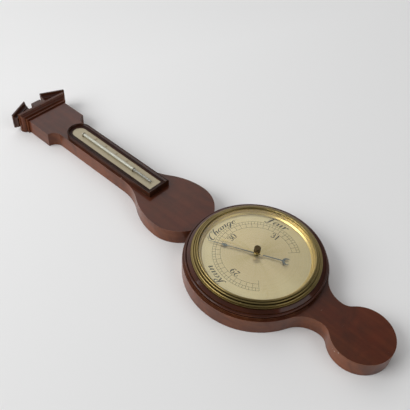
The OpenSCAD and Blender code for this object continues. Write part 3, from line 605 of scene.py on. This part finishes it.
def paint(name, colour, roughness, mottle=0.2):
    # ink or enamel, with paler spots where it has worn
    material, tree, shader, place = newMaterial(name)
    spots = spread(tree, noise(tree, place, 140, 4, 0.6), 0.35, 0.7, 0, mottle)
    join(tree, mixColour(tree, spots, colour, tuple(min(1.0, c * 1.6 + 0.04) for c in colour)),
         shader.inputs["Base Color"])
    join(tree, spread(tree, spots, 0, 1, roughness, roughness + 0.2), shader.inputs["Roughness"])
    shader.inputs["Specular IOR Level"].default_value = inkShine
    return material


dialInk = paint("dial ink", (0.032, 0.027, 0.013), 0.5, 0.2)
ladderInk = paint("ladder ink", (0.085, 0.065, 0.03), 0.5, 0.4)
fadedInk = paint("faded ink", (0.19, 0.14, 0.075), 0.6, 0.5)
milkGlass = paint("milk glass", (0.72, 0.76, 0.68), 0.15, 0.1)
print("all finishes ready")


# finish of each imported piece
finishes = {
    boardWood: ["backboard"],
    ringWood: ["turned_surround"],
    boxWood: ["thermometer_frame"],
    corniceWood: ["cornice"],
    panelWood: ["pediment_panel", "finial_block"],
    rakeLeftWood: ["raking_left"],
    rakeRightWood: ["raking_right"],
    coverWood: ["back_cover"],
    agedBrass: ["bezel", "bezel_pins", "glass_bush", "cover_screws", "hanger_plate", "hanger_screws"],
    sightBrass: ["sight_ring"],
    handBrass: ["set_hand"],
    plateBrass: ["movement_plate", "dial_pillars", "spring_bridge", "rocker_posts", "arbor_bridge"],
    wireBrass: ["tube_clips"],
    knobBronze: ["set_knob", "set_spindle"],
    bluedSteel: ["pointer_hand", "mainspring"],
    brightSteel: ["pointer_arbor", "hairspring", "chain", "pillar_screws", "capsule_post", "main_lever",
                  "connecting_link", "rocker_shaft", "adjusting_screw"],
    nickelSilver: ["vacuum_capsule"],
    quicksilver: ["thermometer_liquid"],
    dialSilver: ["dial_plate"],
    scaleSilver: ["thermometer_plate"],
    dialGlass: ["dial_glass"],
    tubeGlass: ["thermometer_tube"],
}

for finish, names in finishes.items():
    for name in names:
        for materialSlot in nodes[name].material_slots:
            materialSlot.material = finish
withoutFinish = [name for name in nodes if not any(name in names for names in finishes.values())]
print("finishes assigned, pieces without one:", withoutFinish)


def addPiece(name, bm, material, body, smooth=True):
    mesh = bpy.data.meshes.new(name)
    bm.to_mesh(mesh)
    bm.free()
    mesh.materials.append(material)
    for face in mesh.polygons:
        face.use_smooth = smooth
    piece = bpy.data.objects.new(name, mesh)
    scene.collection.objects.link(piece)
    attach(piece, body)


def arcLine(bm, radius, width, low, start, end):
    # flat line along a circle, angles clockwise from the top in degrees
    inner = bm.verts.new((0, radius - width / 2, low))
    outer = bm.verts.new((0, radius + width / 2, low))
    edge = bm.edges.new((inner, outer))
    turn = Matrix.Rotation(-math.radians(start), 3, "Z")
    bmesh.ops.rotate(bm, cent=(0, 0, 0), matrix=turn, verts=[inner, outer])
    steps = max(2, round((end - start) / 2))  # one for each 2 degrees
    bmesh.ops.spin(bm, geom=[inner, outer, edge], cent=(0, 0, 0), axis=(0, 0, 1),
                   angle=-math.radians(end - start), steps=steps, dvec=(0, 0, 0))


def tickLine(bm, inner, outer, width, height, low, angle):
    # bar along a radius
    made = bmesh.ops.create_cube(bm, size=1)["verts"]
    bmesh.ops.scale(bm, vec=(width, outer - inner, height), verts=made)
    bmesh.ops.translate(bm, vec=(0, (inner + outer) / 2, low + height / 2), verts=made)
    turn = Matrix.Rotation(-math.radians(angle), 3, "Z")
    bmesh.ops.rotate(bm, cent=(0, 0, 0), matrix=turn, verts=made)


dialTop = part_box("dial_plate")[1][2]
dialMarks = {
    "degreesPerInch": 88.0,
    "lowest": -132.0,
    "highest": 132.0,
    "outerRadius": 65.8 * mm,
    "middleRadius": 61.0 * mm,
    "innerRadius": 54.0 * mm,
    "endReach": 6 * mm,  # the two end ticks run further in
    "line": 0.5 * mm,
    "inkHeight": 0.04 * mm,
}


def makeLadder(marks):
    bm = bmesh.new()
    for radius in ("outerRadius", "middleRadius", "innerRadius"):
        arcLine(bm, marks[radius], marks["line"], dialTop, marks["lowest"], marks["highest"])
    bmesh.ops.recalc_face_normals(bm, faces=bm.faces[:])
    bmesh.ops.solidify(bm, geom=bm.faces[:], thickness=-marks["inkHeight"])
    tenth = marks["degreesPerInch"] / 10
    tenths = round((marks["highest"] - marks["lowest"]) / tenth)
    for index in range(tenths * 2 + 1):
        angle = marks["lowest"] + index * tenth / 2
        inner = marks["middleRadius"] if index % 2 else marks["innerRadius"]
        if index in (0, tenths * 2):
            inner -= marks["endReach"]
        tickLine(bm, inner, marks["outerRadius"], marks["line"], marks["inkHeight"], dialTop, angle)
    addPiece("dial_ladder", bm, ladderInk, "case", smooth=False)


makeLadder(dialMarks)


# pen strokes of each sign: x, y and pen width, with the body height of small letters as 1
penStrokes = {
    "C": (1.25, [[(1.05, 1.45, .05), (1.08, 1.85, .10), (.75, 2.02, .06), (.3, 1.65, .15),
                  (.08, .95, .24), (.18, .3, .2), (.55, 0, .08), (1.0, .25, .04)],
                 [(.1, 2.0, .04), (-.25, 1.7, .12), (-.42, 1.3, .06)]]),
    "h": (1.05, [[(0, .7, .04), (.3, 1.5, .04), (.4, 1.95, .06), (.26, 1.85, .12), (.2, 1.2, .22),
                  (.2, 0, .2)],
                 [(.2, .35, .04), (.45, .85, .06), (.68, .97, .14), (.77, .65, .22), (.77, .2, .2),
                  (.88, 0, .08), (1.08, .22, .04)]]),
    "a": (1.05, [[(.74, .78, .06), (.48, .98, .06), (.15, .7, .17), (.1, .3, .2), (.3, .01, .08),
                  (.6, .28, .04), (.78, .95, .05)],
                 [(.77, .98, .1), (.76, .5, .22), (.8, .13, .18), (.92, 0, .07), (1.1, .22, .04)]]),
    "n": (1.08, [[(0, .72, .04), (.14, .96, .1), (.2, .75, .21), (.2, 0, .2)],
                 [(.2, .35, .04), (.45, .85, .06), (.68, .97, .14), (.77, .65, .22), (.77, .2, .2),
                  (.88, 0, .08), (1.08, .22, .04)]]),
    "g": (1.02, [[(.74, .78, .06), (.48, .98, .06), (.15, .7, .17), (.1, .3, .2), (.3, .01, .08),
                  (.6, .28, .04), (.78, .95, .05)],
                 [(.77, .98, .1), (.75, .1, .21), (.66, -.55, .17), (.35, -.82, .07), (.1, -.6, .05),
                  (.5, -.2, .04), (1.08, .25, .04)]]),
    "e": (.86, [[(.1, .38, .04), (.5, .55, .05), (.64, .82, .07), (.42, .99, .07), (.13, .7, .18),
                 (.12, .3, .2), (.4, 0, .09), (.84, .28, .04)]]),
    "F": (1.1, [[(0, 1.6, .05), (.12, 1.93, .1), (.5, 1.84, .18), (.9, 1.93, .15), (1.25, 2.1, .04)],
                [(.62, 1.82, .08), (.52, 1.2, .21), (.44, .4, .21), (.2, 0, .1), (-.1, .08, .14),
                 (-.1, .26, .06)],
                [(.2, 1.0, .05), (.5, 1.04, .08), (.9, 1.12, .06)]]),
    "i": (.52, [[(0, .7, .04), (.16, .97, .1), (.2, .5, .22), (.22, .13, .18), (.34, 0, .07),
                 (.54, .22, .04)],
                [(.26, 1.42, .2), (.28, 1.47, .2)]]),
    "r": (.72, [[(0, .7, .04), (.14, .97, .1), (.2, .75, .21), (.2, 0, .2)],
                [(.2, .45, .04), (.38, .88, .07), (.6, .98, .17), (.68, .84, .14)]]),
    "R": (1.2, [[(.46, 1.88, .07), (.38, 1.3, .21), (.32, .4, .21), (.12, 0, .1), (-.15, .1, .14)],
                [(-.05, 1.5, .05), (.12, 1.92, .07), (.62, 1.98, .08), (.92, 1.6, .19), (.78, 1.15, .1),
                 (.4, 1.0, .04)],
                [(.5, 1.02, .06), (.7, .65, .19), (.88, .15, .2), (1.02, 0, .07), (1.2, .2, .04)]]),
    "0": (1.0, [[(.45, 2.0, .06), (.18, 1.75, .16), (.07, 1.0, .23), (.18, .25, .16), (.45, 0, .06),
                 (.72, .25, .16), (.83, 1.0, .23), (.72, 1.75, .16), (.45, 2.0, .06)]]),
    "1": (.8, [[(.12, 1.62, .06), (.42, 1.96, .12)], [(.42, 1.96, .22), (.42, .06, .22)],
               [(.14, .04, .07), (.7, .04, .07)]]),
    "2": (.98, [[(.12, 1.45, .2), (.2, 1.82, .08), (.48, 1.99, .08), (.78, 1.6, .23), (.6, 1.0, .14),
                 (.2, .35, .07), (.06, .08, .07)],
                [(.06, .1, .08), (.38, .15, .2), (.68, .06, .17), (.84, .4, .05)]]),
    "3": (.98, [[(.14, 1.55, .2), (.28, 1.9, .07), (.55, 1.96, .08), (.74, 1.6, .2), (.55, 1.2, .08),
                 (.34, 1.12, .05)],
                [(.34, 1.12, .05), (.62, 1.05, .1), (.83, .65, .22), (.7, .15, .14), (.4, 0, .07),
                 (.12, .35, .2)]]),
    "4": (.98, [[(.6, 2.0, .1), (.08, .62, .06)], [(.08, .6, .1), (.88, .6, .1)],
                [(.6, 2.0, .2), (.6, .02, .22)]]),
    "5": (.98, [[(.75, 1.95, .16), (.25, 1.92, .1), (.18, 1.15, .07), (.5, 1.25, .1), (.82, .8, .22),
                 (.66, .15, .14), (.38, 0, .07), (.12, .3, .18)]]),
    "6": (.98, [[(.78, 1.85, .14), (.5, 1.98, .07), (.15, 1.3, .2), (.1, .6, .22), (.44, 0, .07),
                 (.8, .55, .2), (.48, 1.15, .07), (.14, .75, .08)]]),
    "7": (.9, [[(.1, 1.7, .1), (.14, 1.95, .1), (.82, 1.92, .16), (.5, 1.1, .12), (.32, .05, .22)]]),
    "8": (.98, [[(.45, 1.08, .08), (.14, 1.5, .18), (.45, 1.99, .07), (.76, 1.5, .16), (.45, 1.08, .16),
                 (.08, .5, .2), (.45, 0, .07), (.83, .5, .22), (.45, 1.08, .1)]]),
    "9": (.98, [[(.76, 1.35, .07), (.42, .85, .07), (.1, 1.45, .2), (.45, 1.99, .07), (.8, 1.4, .22),
                 (.7, .6, .18), (.4, .02, .08), (.12, .2, .2)]]),
}


def writeSigns(name, text, height, place, weight=1.0, slant=0.0, spacing=0.0, widen=1.0):
    # text in pen strokes; place turns a point of the text line into a point on the plate
    curve = bpy.data.curves.new(name, "CURVE")
    curve.dimensions = "3D"
    curve.bevel_depth = 1
    curve.bevel_resolution = 1
    curve.resolution_u = 6
    curve.use_fill_caps = True
    unit = height / 2
    total = sum(penStrokes[sign][0] + spacing for sign in text) - spacing
    x = -total / 2
    for sign in text:
        advance, strokes = penStrokes[sign]
        for stroke in strokes:
            spline = curve.splines.new("BEZIER")
            spline.bezier_points.add(len(stroke) - 1)
            for point, (px, py, width) in zip(spline.bezier_points, stroke):
                point.co = place(((x + px) * widen + slant * py) * unit, py * unit)
                point.radius = width * weight * unit / 2
                point.handle_left_type = "AUTO"
                point.handle_right_type = "AUTO"
        x += advance + spacing
    drawn = bpy.data.objects.new(name, curve)
    scene.collection.objects.link(drawn)
    depsgraph = bpy.context.evaluated_depsgraph_get()
    mesh = bpy.data.meshes.new_from_object(drawn.evaluated_get(depsgraph))
    bpy.data.objects.remove(drawn)
    bm = bmesh.new()
    bm.from_mesh(mesh)
    bpy.data.meshes.remove(mesh)
    return bm


def flattenInk(bm, level, thickness):
    # pen strokes pressed flat on the plate, half of their height above it
    heights = [vert.co.z for vert in bm.verts]
    reach = max(abs(height) for height in heights)
    bmesh.ops.scale(bm, vec=(1, 1, thickness / reach), verts=bm.verts[:])
    bmesh.ops.translate(bm, vec=(0, 0, level), verts=bm.verts[:])
    bmesh.ops.recalc_face_normals(bm, faces=bm.faces[:])


arcEase = 2 * mm  # text keeps its width this far above its foot


def onArc(centre, foot):
    # text bends along a circle, its foot towards the dial's middle
    def place(x, y):
        angle = math.radians(centre) + x / (foot + arcEase)
        radius = foot + y
        return (math.sin(angle) * radius, math.cos(angle) * radius, 0)
    return place


dialWords = [
    # text, middle in degrees from the top, foot radius, height, weight, slant, spacing, widening
    ("Change", 0.5, 68.0 * mm, 11.4 * mm, 1.75, 0.5, 0.04, 1.48),
    ("Fair", 77.0, 68.2 * mm, 12.2 * mm, 1.9, 0.5, 0.04, 1.62),
    ("Rain", -75.5, 69.8 * mm, 11.4 * mm, 1.75, 0.5, 0.04, 1.58),
    ("29", -88.0, 42.8 * mm, 9.7 * mm, 1.8, 0.0, 0.1, 1.35),
    ("30", 0.0, 42.8 * mm, 9.7 * mm, 1.8, 0.0, 0.1, 1.35),
    ("31", 88.0, 42.8 * mm, 9.7 * mm, 1.8, 0.0, 0.1, 1.35),
]

for text, middle, foot, height, weight, slant, spacing, widen in dialWords:
    place = onArc(middle, foot)
    signs = writeSigns("dial_" + text.lower(), text, height, place, weight, slant, spacing, widen)
    flattenInk(signs, dialTop, dialMarks["inkHeight"])
    addPiece("dial_" + text.lower(), signs, dialInk, "case", smooth=False)
print("dial lettered")


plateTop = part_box("thermometer_plate")[1][2]
tubeLow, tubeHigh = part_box("thermometer_tube")
scaleMarks = {
    "numbers": {"100": 371.0 * mm, "80": 344.0 * mm, "60": 317.0 * mm, "40": 290.0 * mm},
    "numberX": 8.0 * mm,
    "numberHeight": 4.2 * mm,
    "tickStart": 3.4 * mm,
    "tickShort": 1.2 * mm,
    "tickLong": 2.0 * mm,
    "tickWidth": 0.16 * mm,
    "ticksBetween": 30,  # from the lowest number to the highest
    "ticksBelow": 6,
    "ticksAbove": 4,
    "longEvery": 5,
    "weight": 1.5,
    "spacing": 0.1,
    "inkHeight": 0.03 * mm,
}


def makeThermometerScale(marks):
    bm = bmesh.new()
    first = min(marks["numbers"].values())
    last = max(marks["numbers"].values())
    step = (last - first) / marks["ticksBetween"]
    ink = marks["inkHeight"]
    for index in range(-marks["ticksBelow"], marks["ticksBetween"] + marks["ticksAbove"]):
        y = first + index * step
        reach = marks["tickShort"] if index % marks["longEvery"] else marks["tickLong"]
        for side in (-1, 1):
            x = side * (marks["tickStart"] + reach / 2)
            made = bmesh.ops.create_cube(bm, size=1)["verts"]
            bmesh.ops.scale(bm, vec=(reach, marks["tickWidth"], ink), verts=made)
            bmesh.ops.translate(bm, vec=(x, y, plateTop + ink / 2), verts=made)
    addPiece("thermometer_ticks", bm, fadedInk, "case", smooth=False)
    for text, y in marks["numbers"].items():
        def place(px, py, y=y):
            return (marks["numberX"] + px, y + py - marks["numberHeight"] / 2, 0)
        signs = writeSigns("thermometer_" + text, text, marks["numberHeight"], place,
                           weight=marks["weight"], spacing=marks["spacing"])
        flattenInk(signs, plateTop, ink)
        addPiece("thermometer_" + text, signs, fadedInk, "case", smooth=False)


makeThermometerScale(scaleMarks)

tubeBack = {
    "radius": 2.05 * mm,
    "thickness": 0.3 * mm,
    "sweep": 150.0,
    "steps": 16,
    "belowClips": 2.0 * mm,
    "belowTop": 4.0 * mm,
}


def makeTubeBack(back):
    # white enamel strip fused into the back of the tube
    middle = Vector(((tubeLow[0] + tubeHigh[0]) / 2, 0, (tubeLow[2] + tubeHigh[2]) / 2))
    foot = clipFoot - back["belowClips"]
    head = tubeHigh[1] - back["belowTop"]
    bm = bmesh.new()
    first = bm.verts.new((0, foot, -back["radius"]))
    second = bm.verts.new((0, head, -back["radius"]))
    edge = bm.edges.new((first, second))
    half = math.radians(back["sweep"] / 2)
    turn = Matrix.Rotation(-half, 3, "Y")
    bmesh.ops.rotate(bm, cent=(0, 0, 0), matrix=turn, verts=[first, second])
    bmesh.ops.spin(bm, geom=[first, second, edge], cent=(0, 0, 0), axis=(0, 1, 0),
                   angle=2 * half, steps=back["steps"], dvec=(0, 0, 0))
    bmesh.ops.recalc_face_normals(bm, faces=bm.faces[:])
    bmesh.ops.solidify(bm, geom=bm.faces[:], thickness=back["thickness"])
    bmesh.ops.translate(bm, vec=middle, verts=bm.verts[:])
    addPiece("tube_enamel", bm, milkGlass, "case")


makeTubeBack(tubeBack)
print("thermometer finished")


# floor, lamps and surroundings
floorSetup = {
    "size": 9.0,
    "drop": 0.3 * mm,
    "roughness": 0.9,
    "shine": 0.1,
    # painted light: the floor paler towards the back and darker at the front, standing in for the lamps'
    # falloff
    "nearShadedTone": 0.80,
    "farLitTone": 0.95,
    "litTowards": (0.36, 0.93, 0.0),
    "reach": (-0.2, 0.6),
}


def makeFloor(setup):
    bm = bmesh.new()
    bmesh.ops.create_grid(bm, x_segments=1, y_segments=1, size=setup["size"] / 2)
    bmesh.ops.translate(bm, vec=(0, 0, -setup["drop"]), verts=bm.verts[:])
    mesh = bpy.data.meshes.new("floor")
    bm.to_mesh(mesh)
    bm.free()
    material, tree, shader, place = newMaterial("paper floor")
    # painted light: floor tone graded along one direction, paler where the lamps' light falls strongest
    along = newNode(tree, "ShaderNodeVectorMath", operation="DOT_PRODUCT")
    along.inputs[1].default_value = setup["litTowards"]
    join(tree, place, along.inputs[0])
    tone = spread(tree, along.outputs["Value"], *setup["reach"], setup["nearShadedTone"], setup["farLitTone"])
    paper = newNode(tree, "ShaderNodeCombineColor")
    for index in range(3):
        join(tree, tone, paper.inputs[index])
    join(tree, paper.outputs[0], shader.inputs["Base Color"])
    shader.inputs["Roughness"].default_value = setup["roughness"]
    shader.inputs["Specular IOR Level"].default_value = setup["shine"]
    mesh.materials.append(material)
    floor = bpy.data.objects.new("floor", mesh)
    scene.collection.objects.link(floor)


makeFloor(floorSetup)

lights = {
    # name: place, aim, size, power
    "key": ((-2.4, 1.6, 2.0), (0, 0.16, 0), (2.5, 2.1), 81),
    "front": ((0.45, -1.7, 1.8), (0, 0.05, 0), (1.9, 1.3), 11),
}


def makeLights(setup):
    for name, (place, aim, size, power) in setup.items():
        data = bpy.data.lights.new(name, "AREA")
        data.shape = "RECTANGLE"
        data.size = size[0]
        data.size_y = size[1]
        data.energy = power
        lamp = bpy.data.objects.new(name, data)
        scene.collection.objects.link(lamp)
        lamp.location = place
        lamp.rotation_euler = (Vector(place) - Vector(aim)).to_track_quat("Z", "Y").to_euler()


makeLights(lights)

worldSetup = {
    "base": 0.14,
    # direction, start, level
    "glows": (((0.40, 0.80, 0.45), 0.62, 1.0), ((-0.50, 0.80, 0.33), 0.0, 0.35)),
    "backdrop": (0.78, 0.78, 0.78),
}


def makeWorld(setup):
    world = bpy.data.worlds.new("studio")
    scene.world = world
    world.use_nodes = True
    tree = world.node_tree
    tree.nodes.clear()
    output = newNode(tree, "ShaderNodeOutputWorld", (400, 0))
    background = newNode(tree, "ShaderNodeBackground", (200, 0))
    path = newNode(tree, "ShaderNodeLightPath")
    direction = newNode(tree, "ShaderNodeTexCoord").outputs["Generated"]
    light = setup["base"]
    for aim, start, strength in setup["glows"]:
        dot = newNode(tree, "ShaderNodeVectorMath", operation="DOT_PRODUCT")
        dot.inputs[1].default_value = aim
        join(tree, direction, dot.inputs[0])
        glow = newNode(tree, "ShaderNodeMapRange", interpolation_type="SMOOTHSTEP")
        glow.inputs["From Min"].default_value = start
        glow.inputs["To Max"].default_value = strength
        join(tree, dot.outputs["Value"], glow.inputs["Value"])
        light = mathNode(tree, "ADD", glow.outputs["Result"], light)
    level = newNode(tree, "ShaderNodeCombineColor")
    for index in range(3):
        join(tree, light, level.inputs[index])
    shown = mixColour(tree, path.outputs["Is Camera Ray"], level.outputs[0], setup["backdrop"])
    join(tree, shown, background.inputs["Color"])
    join(tree, background.outputs[0], output.inputs["Surface"])


makeWorld(worldSetup)
print("stage and lights set")
